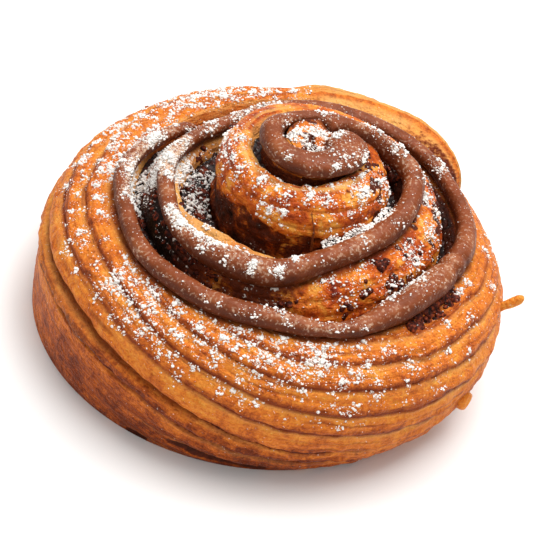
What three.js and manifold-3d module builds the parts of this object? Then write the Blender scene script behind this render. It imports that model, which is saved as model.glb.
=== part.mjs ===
// Cinnamon roll of laminated dough. One strip of dough is coiled clockwise outwards and pushed up
// towards its middle, a dark filling runs between the turns, and a rope of chocolate icing is
// piped as a ring on the middle turn and from there along the crest of the outer turns.
import * as THREE from "three";
import { mergeVertices } from "three/addons/utils/BufferGeometryUtils.js";
import Module from "manifold-3d";

const { lerp, smoothstep } = THREE.MathUtils;

// Driving dimensions, in millimetres. Places along the strip and the rope are counted in turns,
// clockwise seen from above, with each whole turn at the right of the roll. The lists go right,
// front, left, back through one turn after another.
const axisPlace = { x: 0.46, y: -2.05 }; // the spiral's axis from the middle of the base
const strip = { start: -0.75, coilEnd: 2.875, rimStart: 2 + 5 / 6, end: 3.875 };
const wallRadius = [
  [10.8, 11.2, 11.8, 16.5],
  [21.5, 21.7, 22, 29],
  [36.8, 37.2, 38.3, 47],
  [56.6, 57.6, 61.5, 61.7],
  [62],
].flat(); // in quarter turns
const crestHeight = [
  [60, 60, 60, 59.8],
  [59.5, 59, 57.5, 55.5],
  [51, 44.6, 42, 40.8],
  [39.8, 39, 38.1, 38.2],
  [39.2],
].flat(); // in quarter turns
const crestRadius = [
  [27, 25.5, 30.5, 34.3, 33, 32.4, 38, 41.3],
  [41.9, 40.5, 41.5, 42.5, 43, 44.5, 49, 55],
  [56],
].flat(); // in eighths of a turn, from the second turn on
const core = { wallGrowth: 10.2, hole: 0.7 }; // growth of the first turn's wall, and the hole on the axis
const crestInset = 2.6; // from the inner face to the crest where no rope lies
const crestDrop = 3.6; // rounding of the crest towards the inner face
const shoulderDrop = { coil: 11, rim: 18.5 }; // from the crest down to the widest place
const foot = { inset: 4.5, swing: 4.9, angle: 347, power: 2.2 }; // the outer face draws in below
const groove = { width: 1.9, wide: 5, at: 2.46, spread: 0.15 }; // room between turns, widest at the left
const tail = { at: 3.735, blend: 0.02, lift: 1.9, round: 0.06, tip: 0.25 }; // the loose end stands proud
const layers = { height: 6.3, first: 2, depth: 1.5, sunk: 0.75, base: 2 };
// How far the layers lie below their level at the left, in sixteenths of a turn from the rim's beginning
const layerFall = [20, 19, 18, 17, 16, 14.2, 10.8, 5.5, 1.3, 0];
const layerTop = { from: 0.8, to: 1.5, share: 0.2 }; // over the shoulder the layers flatten out
const filling = { start: 1 / 3, end: 3 + 5 / 6, foot: 1, belowCrest: 4, lowEnd: 18, crown: 0.8 };
const fillingClear = 0.4; // from the dough on both sides
const lump = { height: 0.9, often: 47, seldom: 29 }; // waves on the filling's top
const rope = { start: -0.125, end: 2.6, lift: 2.4, sag: 0.35, clear: 0.4, reach: 1.2 };
const ropeRadius = [
  [26.7, 26.4, 25.8, 27.3, 32.2, 33.8, 34.8, 33.3],
  [33, 31.4, 31.2, 34.4, 38.6, 41, 42.3, 42.2],
  [42.7, 40.6, 41.2, 43.2, 42.3, 43.4, 43.7, 43.1],
  [42.9, 39.8, 36],
].flat(); // in sixteenths of a turn, from the rope's second turn on
const ropeHalfWidth = [
  [2.75, 2.95, 2.75, 2.95, 3.5, 3.4, 2.3, 2.15],
  [2.1, 2, 2, 2.1, 2.3, 2.3, 2.2, 2.15],
  [2.8, 3.4, 3.35, 1.95, 2.6, 2.6, 2.25, 2.2],
  [2.3, 1.9, 1.7],
].flat(); // at the same places
const ring = {
  radius: [7.8, 8.5, 9.1, 9.8, 10.3, 10, 9.3, 9.7, 10.4],
  halfWidth: [2.2, 5.3, 4.3, 3.6, 2.9, 2.7, 1.9, 1.9, 4],
  halfHeight: [2.2, 2.75, 2.75, 2.75, 2.75, 2.6, 1.95, 1.9, 2.3],
  foot: 59.45,
}; // the rope's first turn, in eighths from its start
const noses = { filling: 0.05, rope: 0.5, tip: 0.3 }; // rounded ends
// Where along the strip or the rope one form passes into the next, in turns
const passing = {
  crest: [1.8, 2],
  shoulder: [2.55, 2.95],
  foot: [2.6, 2.9],
  layers: [2.875, 3],
  fillingEnd: [3.55, 3.68],
  ropeOut: [0.84, 0.98],
};
const drip = {
  angle: 358,
  radius: 52.3,
  height: 24.6,
  out: 8.3,
  up: 7.2,
  bend: 1.4,
  shares: [0, 0.3, 0.6, 0.85, 1],
  widths: [2.7, 1.5, 1.15, 1.3, 0.6],
}; // half widths at shares of its length
const curl = { angle: 336, radius: 56, height: 12.6, halfWidth: 2.5 };
const steps = { coil: 24, rim: 48, rope: 48 }; // stations in one turn
const coilPoints = { low: 3, shoulder: 6, crest: 3, inside: 3, insideLow: 1, base: 1 };
const rimPoints = { low: 14, shoulder: 16, crest: 4, inside: 4, insideLow: 2, base: 2 };

// A smooth run through evenly spaced values.
function along(values, place) {
  const last = values.length - 1;
  const x = Math.min(Math.max(place, 0), last);
  const i = Math.min(Math.floor(x), last - 1);
  const f = x - i;
  const before = values[Math.max(i - 1, 0)];
  const after = values[Math.min(i + 2, last)];
  const slopeIn = (values[i + 1] - before) / 2;
  const slopeOut = (after - values[i]) / 2;
  const rise = f * f * (3 - 2 * f);
  return lerp(values[i], values[i + 1], rise) + f * (1 - f) * ((1 - f) * slopeIn - f * slopeOut);
}

const angleAt = (turn) => -2 * Math.PI * turn;
const passed = (turn, [from, to]) => smoothstep(turn, from, to);

function onSpiral(turn, radius, height) {
  const angle = angleAt(turn);
  return new THREE.Vector3(radius * Math.cos(angle), radius * Math.sin(angle), height);
}

// The strip's sizes at a place along it
function wallAt(turn) {
  if (turn >= 0) return along(wallRadius, turn * 4);
  return Math.max(wallRadius[0] + core.wallGrowth * turn, core.hole);
}

function grooveAt(turn) {
  const wide = groove.wide * Math.exp(-(((turn - groove.at) / groove.spread) ** 2));
  return groove.width + wide;
}

const tailLift = (turn) => tail.lift * smoothstep(turn, tail.at - tail.blend, tail.at + tail.blend);

const crestAt = (turn) => along(crestHeight, turn * 4) + tailLift(turn);

function shoulderAt(turn) {
  return crestAt(turn) - lerp(shoulderDrop.coil, shoulderDrop.rim, passed(turn, passing.shoulder));
}

function crestRadiusAt(turn) {
  const plain = innerAt(turn, crestAt(turn) - crestDrop) + crestInset;
  const carried = along(crestRadius, (turn - 2) * 8) + tailLift(turn);
  return lerp(plain, carried, passed(turn, passing.crest));
}

// Radius of the strip's outer face: upright below the shoulder, a quarter of an oval above it
function outerAt(turn, height) {
  const wall = wallAt(turn);
  const shoulder = shoulderAt(turn);
  if (height > shoulder) {
    const crest = crestRadiusAt(turn);
    const up = Math.min((height - shoulder) / (crestAt(turn) - shoulder), 1);
    return crest + (wall - crest) * Math.sqrt(1 - up * up);
  }
  const fromMost = angleAt(turn) - THREE.MathUtils.degToRad(foot.angle);
  const drawIn = foot.inset + foot.swing * Math.cos(fromMost);
  const below = (shoulder - height) / shoulder;
  return wall - drawIn * passed(turn, passing.foot) * below ** foot.power;
}

// Radius of the strip's inner face, which follows the turn inside it across the groove
function innerAt(turn, height) {
  if (turn - 1 < strip.start) return core.hole;
  return outerAt(turn - 1, height) + grooveAt(turn);
}

// Height on the inner face where the turn inside it begins to round over
function kneeAt(turn, highest) {
  const mostShare = 0.94;
  return Math.min(shoulderAt(Math.max(turn - 1, strip.start)), highest * mostShare);
}

// Rounded layers of dough on the rim, evenly spaced up the outer face and over the shoulder. They lie
// level at the left and fall towards the right.
function layerRelief(turn, height) {
  const shoulder = shoulderAt(turn);
  const over = crestAt(turn) - shoulder;
  const share = Math.min(Math.max((height - shoulder) / over, 0), 1);
  const run = Math.min(height, shoulder) + over * Math.asin(share);
  const fall = along(layerFall, (turn - passing.layers[0]) * 16);
  const place = (run + fall - layers.first) / layers.height;
  const across = 2 * (place - Math.floor(place)) - 1;
  const proud = Math.sqrt(1 - across * across) - layers.sunk;
  const fadeOut = 1 - smoothstep(turn, tail.at, strip.end);
  return layers.depth * proud * passed(turn, passing.layers) * fadeOut * smoothstep(height, 0, layers.base);
}

// The strip's section as a closed row of radius and height: up the outer face, over the crest,
// down the inner face and back along the base.
function stripSection(turn, points) {
  const section = [];
  const crest = crestAt(turn);
  const shoulder = shoulderAt(turn);
  const crestX = crestRadiusAt(turn);
  const wall = wallAt(turn);
  const edge = crest - crestDrop;
  const edgeX = innerAt(turn, edge);
  for (let i = 0; i < points.low; i++) {
    const height = (shoulder * i) / points.low;
    section.push(new THREE.Vector2(outerAt(turn, height) + layerRelief(turn, height), height));
  }
  for (let i = 0; i < points.shoulder; i++) {
    const turned = ((Math.PI / 2) * i) / points.shoulder;
    const height = shoulder + (crest - shoulder) * Math.sin(turned);
    const flatter = smoothstep(turned, layerTop.from, layerTop.to);
    const proud = layerRelief(turn, height) * lerp(1, layerTop.share, flatter);
    const outX = crestX + (wall - crestX) * Math.cos(turned) + proud * Math.cos(turned);
    section.push(new THREE.Vector2(outX, height + proud * Math.sin(turned)));
  }
  for (let i = 0; i < points.crest; i++) {
    const turned = ((Math.PI / 2) * i) / points.crest;
    const height = edge + crestDrop * Math.cos(turned);
    section.push(new THREE.Vector2(crestX - (crestX - edgeX) * Math.sin(turned), height));
  }
  const knee = kneeAt(turn, edge);
  for (let i = 0; i < points.inside; i++) {
    const height = lerp(edge, knee, i / points.inside);
    section.push(new THREE.Vector2(innerAt(turn, height), height));
  }
  for (let i = 0; i <= points.insideLow; i++) {
    const height = knee * (1 - i / points.insideLow);
    section.push(new THREE.Vector2(innerAt(turn, height), height));
  }
  const baseIn = innerAt(turn, 0);
  const baseOut = outerAt(turn, 0);
  for (let i = 1; i <= points.base; i++) {
    section.push(new THREE.Vector2(lerp(baseIn, baseOut, i / (points.base + 1)), 0));
  }
  return section;
}

function middleOf(points) {
  const sum = points.reduce((total, point) => total.add(point), points[0].clone().multiplyScalar(0));
  return sum.divideScalar(points.length);
}

// A closed body through a row of closed sections, made by moving the points of a capped cylinder.
function loft(sections) {
  const rows = sections.length - 1;
  const sides = sections[0].length;
  const body = new THREE.CylinderGeometry(1, 1, rows, sides, rows);
  const middles = sections.map(middleOf);
  const places = body.attributes.position;
  const place = new THREE.Vector3();
  for (let i = 0; i < places.count; i++) {
    place.fromBufferAttribute(places, i);
    const row = Math.round(rows / 2 - place.y);
    const side = Math.round((1 - Math.atan2(place.x, place.z) / (2 * Math.PI)) * sides) % sides;
    const onAxis = Math.hypot(place.x, place.z) < 0.5;
    const moved = onAxis ? middles[row] : sections[row][side];
    places.setXYZ(i, moved.x, moved.y, moved.z);
  }
  return body;
}

function stations(start, end, count) {
  const rows = Math.round((end - start) * count);
  return Array.from({ length: rows + 1 }, (_, i) => lerp(start, end, i / rows));
}

// Sections draw in to a rounded nose near the ends of a strip or rope.
function nose(distance, length, tip) {
  const share = Math.min(Math.max(distance / length, 0), 1);
  return tip + (1 - tip) * Math.sqrt(1 - (1 - share) ** 2);
}

function shrink(points, size) {
  const middle = middleOf(points);
  return points.map((point) => point.clone().lerp(middle, 1 - size));
}

function coilBody() {
  const buried = 0.96; // the coil's end sits inside the rim's beginning
  const joint = strip.rimStart - 0.01;
  const rows = stations(strip.start, strip.coilEnd, steps.coil).map((turn) => {
    const section = shrink(stripSection(turn, coilPoints), turn > joint ? buried : 1);
    return section.map((point) => onSpiral(turn, point.x, point.y));
  });
  return loft(rows);
}

function rimBody() {
  const rows = stations(strip.rimStart, strip.end, steps.rim).map((turn) => {
    const section = shrink(stripSection(turn, rimPoints), nose(strip.end - turn, tail.round, tail.tip));
    return section.map((point) => onSpiral(turn, point.x, point.y));
  });
  return loft(rows);
}

// Small drips of dough on the right side
function dripBody() {
  const sides = 8;
  const turn = -drip.angle / 360;
  const rows = drip.widths.map((width, i) => {
    const share = drip.shares[i];
    return Array.from({ length: sides }, (_, k) => {
      const angle = (2 * Math.PI * k) / sides;
      const radius = drip.radius + drip.out * share - width * Math.sin(angle) * 0.6;
      const height = drip.height + drip.up * share ** drip.bend + width * Math.sin(angle) * 0.8;
      return onSpiral(turn - (width * Math.cos(angle)) / (2 * Math.PI * drip.radius), radius, height);
    });
  });
  return loft(rows);
}

function curlBody() {
  const ball = new THREE.IcosahedronGeometry(curl.halfWidth, 1);
  const place = onSpiral(-curl.angle / 360, curl.radius, curl.height);
  return ball.scale(1, 1, 0.9).translate(place.x, place.y, place.z);
}

// The filling stands in the groove, clear of the dough on both sides, with a lumpy top.
function fillingBody() {
  const rows = stations(filling.start, filling.end, steps.coil).map((turn) => {
    const wave = lump.height * (Math.sin(lump.often * turn) + Math.sin(lump.seldom * turn + 1));
    const high = crestAt(turn) - filling.belowCrest + wave;
    const top = lerp(high, filling.lowEnd, passed(turn, passing.fillingEnd));
    const size = nose(Math.min(turn - filling.start, filling.end - turn), noses.filling, noses.tip);
    const face = (height, side) => {
      const near = outerAt(turn - 1, height) + fillingClear;
      const far = innerAt(turn, height) - fillingClear;
      return new THREE.Vector2(lerp(near, far, side), height);
    };
    const knee = kneeAt(turn, top);
    const heights = [filling.foot, knee / 2, knee, (knee + top) / 2, top];
    const outside = heights.map((height) => face(height, 1));
    const inside = heights.map((height) => face(height, 0)).reverse();
    const crown = new THREE.Vector2(face(top, 0.5).x, top + filling.crown);
    const section = shrink([...outside, crown, ...inside], size);
    return section.map((point) => onSpiral(turn, point.x, point.y));
  });
  return loft(rows);
}

// Height of the dough's top at a radius, over every turn that passes below
function doughTop(turn, radius) {
  let top = 0;
  for (let place = turn - 1; place < strip.end; place += 1) {
    if (place < strip.start) continue;
    const crest = crestAt(place);
    const crestX = crestRadiusAt(place);
    const edgeX = innerAt(place, crest - crestDrop);
    const wall = wallAt(place);
    if (radius < edgeX || radius > wall) continue;
    const outside = radius > crestX;
    const off = outside ? (radius - crestX) / (wall - crestX) : (crestX - radius) / (crestX - edgeX);
    const drop = outside ? crest - shoulderAt(place) : crestDrop;
    top = Math.max(top, crest - drop * (1 - Math.sqrt(1 - off * off)));
  }
  return top;
}

// The rope's middle line and half widths: a ring on the middle turn, then across to the next turn
// out, where the rope sags if it lies outside the crest
function ropePlace(turn) {
  const away = passed(turn, passing.ropeOut);
  const onRing = (turn - rope.start) * 8;
  const onCoil = (turn - 1) * 16;
  const carried = turn < 1 ? Math.min(crestRadiusAt(turn + 1), ropeRadius[0]) : along(ropeRadius, onCoil);
  const sag = rope.sag * Math.max(carried - crestRadiusAt(turn + 1), 0);
  const halfWidth = along(ropeHalfWidth, onCoil);
  const ringHalf = along(ring.halfHeight, onRing);
  return {
    radius: lerp(along(ring.radius, onRing), carried, away),
    height: lerp(ring.foot + ringHalf, crestAt(turn + 1) + rope.lift - sag, away),
    halfWidth: lerp(along(ring.halfWidth, onRing), halfWidth, away),
    halfHeight: lerp(ringHalf, halfWidth, away),
  };
}

// The rope is round where it hangs free and flat where it lies on the dough.
function ropeBody() {
  const sides = 8;
  const rows = stations(rope.start, rope.end, steps.rope).map((turn) => {
    const { radius, height, halfWidth, halfHeight } = ropePlace(turn);
    const size = nose(Math.min(turn - rope.start, rope.end - turn) * radius, noses.rope, noses.tip);
    return Array.from({ length: sides }, (_, k) => {
      const angle = (2 * Math.PI * (k + 0.5)) / sides;
      const x = radius + halfWidth * size * Math.cos(angle);
      const floor = Math.max(...[-1, 0, 1].map((step) => doughTop(turn, x + step * rope.reach)));
      const skin = height + halfHeight * size * Math.sin(angle);
      return onSpiral(turn, x, Math.max(skin, floor + rope.clear));
    });
  });
  return loft(rows);
}

// Joining bodies and dressing them as meshes
const wasm = await Module();
wasm.setup();

function solid(geometry) {
  const bare = geometry.clone();
  bare.deleteAttribute("normal");
  bare.deleteAttribute("uv");
  const merged = mergeVertices(bare, 1e-4);
  const vertProperties = merged.attributes.position.array;
  const triVerts = new Uint32Array(merged.index.array);
  return new wasm.Manifold(new wasm.Mesh({ numProp: 3, vertProperties, triVerts }));
}

function joined(geometries) {
  const whole = geometries.map(solid).reduce((sum, next) => sum.add(next));
  const mesh = whole.getMesh();
  const geometry = new THREE.BufferGeometry();
  geometry.setAttribute("position", new THREE.BufferAttribute(mesh.vertProperties, 3));
  geometry.setIndex(new THREE.BufferAttribute(mesh.triVerts, 1));
  geometry.computeVertexNormals();
  return geometry;
}

function piece(name, geometry, color, roughness) {
  const material = new THREE.MeshStandardMaterial({ color, roughness, metalness: 0 });
  const mesh = new THREE.Mesh(geometry, material);
  mesh.name = name;
  return mesh;
}

const roll = new THREE.Group();
roll.position.set(axisPlace.x, axisPlace.y, 0);
roll.add(piece("dough", joined([coilBody(), rimBody(), dripBody(), curlBody()]), 0xc97a34, 0.6));
roll.add(piece("filling", joined([fillingBody()]), 0x2c1810, 0.5));
roll.add(piece("chocolate_icing", joined([ropeBody()]), 0x7b4a35, 0.4));

export default roll;
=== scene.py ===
import math
from functools import partial

import bmesh
import bpy
import numpy as np
from mathutils import Matrix, Vector
from mathutils.bvhtree import BVHTree


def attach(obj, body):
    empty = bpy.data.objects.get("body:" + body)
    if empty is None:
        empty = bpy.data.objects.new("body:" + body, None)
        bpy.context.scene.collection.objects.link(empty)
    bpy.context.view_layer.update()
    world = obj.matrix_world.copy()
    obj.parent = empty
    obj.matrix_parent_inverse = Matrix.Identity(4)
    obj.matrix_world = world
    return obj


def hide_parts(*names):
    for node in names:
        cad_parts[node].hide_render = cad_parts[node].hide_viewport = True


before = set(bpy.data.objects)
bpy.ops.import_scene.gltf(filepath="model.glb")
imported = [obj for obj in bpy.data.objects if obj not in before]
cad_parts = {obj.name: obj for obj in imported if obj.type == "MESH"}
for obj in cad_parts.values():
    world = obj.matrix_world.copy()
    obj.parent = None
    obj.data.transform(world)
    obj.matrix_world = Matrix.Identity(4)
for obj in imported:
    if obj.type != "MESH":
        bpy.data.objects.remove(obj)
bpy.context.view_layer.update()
mm = 0.001  # sizes below are in millimetres
print("frame loaded:", sorted(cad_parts))


# Small tools

def linear(hexCode):  # sRGB hex to linear
    parts = [int(hexCode[i:i + 2], 16) / 255 for i in (1, 3, 5)]
    return tuple(c / 12.92 if c <= 0.04045 else ((c + 0.055) / 1.055) ** 2.4 for c in parts) + (1.0,)


def setInputs(tree, node, inputs):  # links, hex colours and plain values
    for name, value in inputs.items():
        if isinstance(value, bpy.types.NodeSocket):
            tree.links.new(value, node.inputs[name])
        else:
            node.inputs[name].default_value = linear(value) if isinstance(value, str) else value


def addNode(tree, kind, inputs=None, out=None, stops=None, **settings):  # one node, gives its output
    node = tree.nodes.new("ShaderNode" + kind)
    for name, value in settings.items():
        setattr(node, name, value)
    setInputs(tree, node, inputs or {})
    if stops:  # place and hex colour along a ramp
        ramp = node.color_ramp.elements
        for at, colour in stops[1:-1]:
            ramp.new(at)
        for element, (at, colour) in zip(ramp, stops):
            element.position = at
            element.color = linear(colour)
    return node.outputs[out] if out else next(socket for socket in node.outputs if socket.enabled)


def newMaterial(name):  # with what adds its nodes and what sets its shader
    material = bpy.data.materials.new(name)
    material.use_nodes = True
    tree = material.node_tree
    return material, partial(addNode, tree), partial(setInputs, tree, tree.nodes["Principled BSDF"])


def mix(a, b, share):
    return a + (b - a) * share


def smooth(x, low, high):  # eased step from 0 to 1
    t = np.clip((np.asarray(x, float) - low) / (high - low), 0, 1)
    return t * t * (3 - 2 * t)


def between(x, a, b, c, d):  # eased up from a to b and down again from c to d
    return smooth(x, a, b) * (1 - smooth(x, c, d))


def bell(x, middle, spread):
    return np.exp(-((x - middle) / spread) ** 2)


def angleBell(angle, middle, spread):  # the same round the clock, in degrees
    return bell((angle - middle + 180) % 360 - 180, 0, spread)


def lattice(ix, iy, iz, seed):  # repeatable random number at a whole-number place
    h = (ix * 374761393 + iy * 668265263 + iz * 1440662683 + seed * 974634777) & 0xffffffff
    h = ((h ^ (h >> 13)) * 1274126177) & 0xffffffff
    return (h ^ (h >> 16)) / 0x7fffffff - 1


def noise(x, y, z=0.0, seed=0):  # smooth, from -1 to 1, about one bump a unit
    x, y, z = np.broadcast_arrays(np.asarray(x, float), np.asarray(y, float), np.asarray(z, float))
    cells = [np.floor(v).astype(np.int64) for v in (x, y, z)]
    fx, fy, fz = [v - c for v, c in zip((x, y, z), cells)]
    fx, fy, fz = [f * f * (3 - 2 * f) for f in (fx, fy, fz)]
    total = 0
    for dx in (0, 1):
        for dy in (0, 1):
            for dz in (0, 1):
                weight = (fx if dx else 1 - fx) * (fy if dy else 1 - fy) * (fz if dz else 1 - fz)
                total = total + weight * lattice(cells[0] + dx, cells[1] + dy, cells[2] + dz, seed)
    return total


def rough(points, size, octaves=3, seed=0):  # noise on noise, at a size in millimetres
    total = 0
    for i in range(octaves):
        scaled = points * (2 ** i / size)
        total = total + noise(scaled[..., 0], scaled[..., 1], scaled[..., 2], seed + i) / 2 ** i
    return total


def tube(grid):  # closed skin over rows of points, with a fan at each end, its faces looking out
    rows, sides = grid.shape[:2]
    points = np.concatenate([grid.reshape(-1, 3), grid[:1].mean(1), grid[-1:].mean(1)])
    i = np.arange(rows - 1)[:, None] * sides
    j = np.arange(sides)[None, :]
    k = (j + 1) % sides
    faces = np.stack([i + j, i + k, i + sides + k, i + sides + j], -1).reshape(-1, 4).tolist()
    middle, end = rows * sides, (rows - 1) * sides
    around = list(zip(j[0].tolist(), k[0].tolist()))
    faces += [(middle, b, a) for a, b in around]
    faces += [(middle + 1, end + a, end + b) for a, b in around]
    corners = np.array([face[:3] for face in faces])
    a, b, c = (points[corners[:, n]] for n in range(3))
    if (a * np.cross(b, c)).sum() <= 0:
        faces = [tuple(reversed(face)) for face in faces]
    return points, faces


def joined(parts):  # several (points, faces) as one
    points, faces, count = [], [], 0
    for partPoints, partFaces in parts:
        points.append(partPoints)
        faces += [tuple(v + count for v in face) for face in partFaces]
        count += len(partPoints)
    return np.concatenate(points), faces


def newPiece(name, part, material):
    points, faces = part
    mesh = bpy.data.meshes.new(name)
    mesh.from_pydata((points * mm).tolist(), [], faces)
    mesh.polygons.foreach_set("use_smooth", np.ones(len(mesh.polygons), bool))
    mesh.materials.append(material)
    mesh.update()
    piece = bpy.data.objects.new(name, mesh)
    bpy.context.scene.collection.objects.link(piece)
    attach(piece, "root")
    return piece


def setAttribute(piece, name, values):  # a value for each point, read by the finish
    layer = piece.data.attributes.new(name, "FLOAT", "POINT")
    layer.data.foreach_set("value", np.asarray(values, np.float32).ravel())


# The spiral, with the solids' own values. Places are turns, clockwise from above, whole ones at the right.

spiral = {
    "axis": (0.46, -2.05),
    "start": -0.75,
    "end": 3.875,
    # every quarter turn, from turn 0
    "wallRadius": [10.8, 11.2, 11.8, 16.5, 21.5, 21.7, 22, 29, 36.8,
                   37.2, 38.3, 47, 56.6, 57.6, 61.5, 61.7, 62],
    "crestHeight": [60, 60, 60, 59.8, 59.5, 59, 57.5, 55.5, 51, 44.6, 42, 40.8, 39.8, 39, 38.1, 38.2, 39.2],
    # every eighth of a turn, from turn 2
    "crestRadius": [27, 25.5, 30.5, 34.3, 33, 32.4, 38, 41.3, 41.9, 40.5, 41.5, 42.5, 43, 44.5, 49, 55, 56],
    "wallGrowth": 10.2,  # a turn, before turn 0
    "hole": 0.7,
    "crestInset": 2.6,
    "crestDrop": 3.6,  # from the crest to the inner edge
    "shoulderCoil": 11,
    "shoulderRim": 18.5,
    "footInset": 4.5,
    "footSwing": 4.9,
    "footAngle": 347,
    "footPower": 2.2,
    "groove": 1.9,
    "grooveWide": 5,
    "grooveAt": 2.46,
    "grooveSpread": 0.15,
    "tailAt": 3.735,
    "tailBlend": 0.02,
    "tailLift": 1.9,
    "tailRound": 0.06,
    "tailTip": 0.25,
}


def along(values, place):  # smooth run through evenly spaced values
    values = np.asarray(values, float)
    last = len(values) - 1
    x = np.clip(np.asarray(place, float), 0, last)
    i = np.minimum(np.floor(x).astype(int), last - 1)
    f = x - i
    slopeIn = (values[i + 1] - values[np.maximum(i - 1, 0)]) / 2
    slopeOut = (values[np.minimum(i + 2, last)] - values[i]) / 2
    rise = f * f * (3 - 2 * f)
    return mix(values[i], values[i + 1], rise) + f * (1 - f) * ((1 - f) * slopeIn - f * slopeOut)


def wallAt(turn):
    core = np.maximum(spiral["wallRadius"][0] + spiral["wallGrowth"] * turn, spiral["hole"])
    return np.where(turn >= 0, along(spiral["wallRadius"], turn * 4), core)


def grooveAt(turn):
    return spiral["groove"] + spiral["grooveWide"] * bell(turn, spiral["grooveAt"], spiral["grooveSpread"])


def tailLiftAt(turn):
    past = smooth(turn, spiral["tailAt"] - spiral["tailBlend"], spiral["tailAt"] + spiral["tailBlend"])
    return spiral["tailLift"] * past


def crestAt(turn):
    return along(spiral["crestHeight"], turn * 4) + tailLiftAt(turn)


def shoulderAt(turn):
    return crestAt(turn) - mix(spiral["shoulderCoil"], spiral["shoulderRim"], smooth(turn, 2.55, 2.95))


def crestRadiusAt(turn):
    plain = innerAt(turn, crestAt(turn) - spiral["crestDrop"]) + spiral["crestInset"]
    carried = along(spiral["crestRadius"], (turn - 2) * 8) + tailLiftAt(turn)
    return mix(plain, carried, smooth(turn, 1.8, 2))


def outerAt(turn, height):
    wall, shoulder, crest = wallAt(turn), shoulderAt(turn), crestRadiusAt(turn)
    up = np.clip((height - shoulder) / (crestAt(turn) - shoulder), 0, 1)
    rounded = crest + (wall - crest) * np.sqrt(1 - up * up)
    fromMost = -2 * math.pi * turn - math.radians(spiral["footAngle"])
    drawIn = (spiral["footInset"] + spiral["footSwing"] * np.cos(fromMost)) * smooth(turn, 2.6, 2.9)
    below = np.clip((shoulder - height) / shoulder, 0, 1)
    return np.where(height > shoulder, rounded, wall - drawIn * below ** spiral["footPower"])


def innerAt(turn, height):
    before = turn - 1
    if np.all(before < spiral["start"]):
        return np.full(np.broadcast(turn, height).shape, spiral["hole"])
    follows = outerAt(np.maximum(before, spiral["start"]), height) + grooveAt(turn)
    return np.where(before < spiral["start"], spiral["hole"], follows)


def onSpiral(turn, radius, height):
    turn, radius, height = np.broadcast_arrays(turn, radius, height)
    angle = -2 * np.pi * turn
    x = spiral["axis"][0] + radius * np.cos(angle)
    y = spiral["axis"][1] + radius * np.sin(angle)
    return np.stack([x, y, height], -1)


def doughTop(turn, radius):  # height of the dough below a place
    top = np.zeros(np.broadcast(turn, radius).shape)
    for step in range(-1, 5):
        place = turn + step
        here = np.clip(place, spiral["start"], spiral["end"])
        crest, crestX, wall = crestAt(here), crestRadiusAt(here), wallAt(here)
        edgeX = innerAt(here, crest - spiral["crestDrop"])
        outside = radius > crestX
        off = np.where(outside, (radius - crestX) / (wall - crestX), (crestX - radius) / (crestX - edgeX))
        drop = np.where(outside, crest - shoulderAt(here), spiral["crestDrop"])
        inside = (place >= spiral["start"]) & (place < spiral["end"]) & (radius >= edgeX) & (radius <= wall)
        height = crest - drop * (1 - np.sqrt(np.clip(1 - off * off, 0, 1)))
        top = np.maximum(top, np.where(inside, height, 0))
    return top


def nose(distance, length, tip):  # sections draw in to a rounded end
    share = np.clip(distance / length, 0, 1)
    return tip + (1 - tip) * np.sqrt(1 - (1 - share) ** 2)


def evenStations(start, end, radiusAt, step):  # places about one step apart, and the length run
    fine = np.linspace(start, end, 4000)
    steps = np.diff(fine) * 2 * np.pi * np.maximum(radiusAt(fine[1:]), 6)
    length = np.concatenate([[0], np.cumsum(steps)])
    run = np.linspace(0, length[-1], int(length[-1] / step))
    return np.interp(run, length, fine)[:, None], run[:, None]


# Materials

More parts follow.
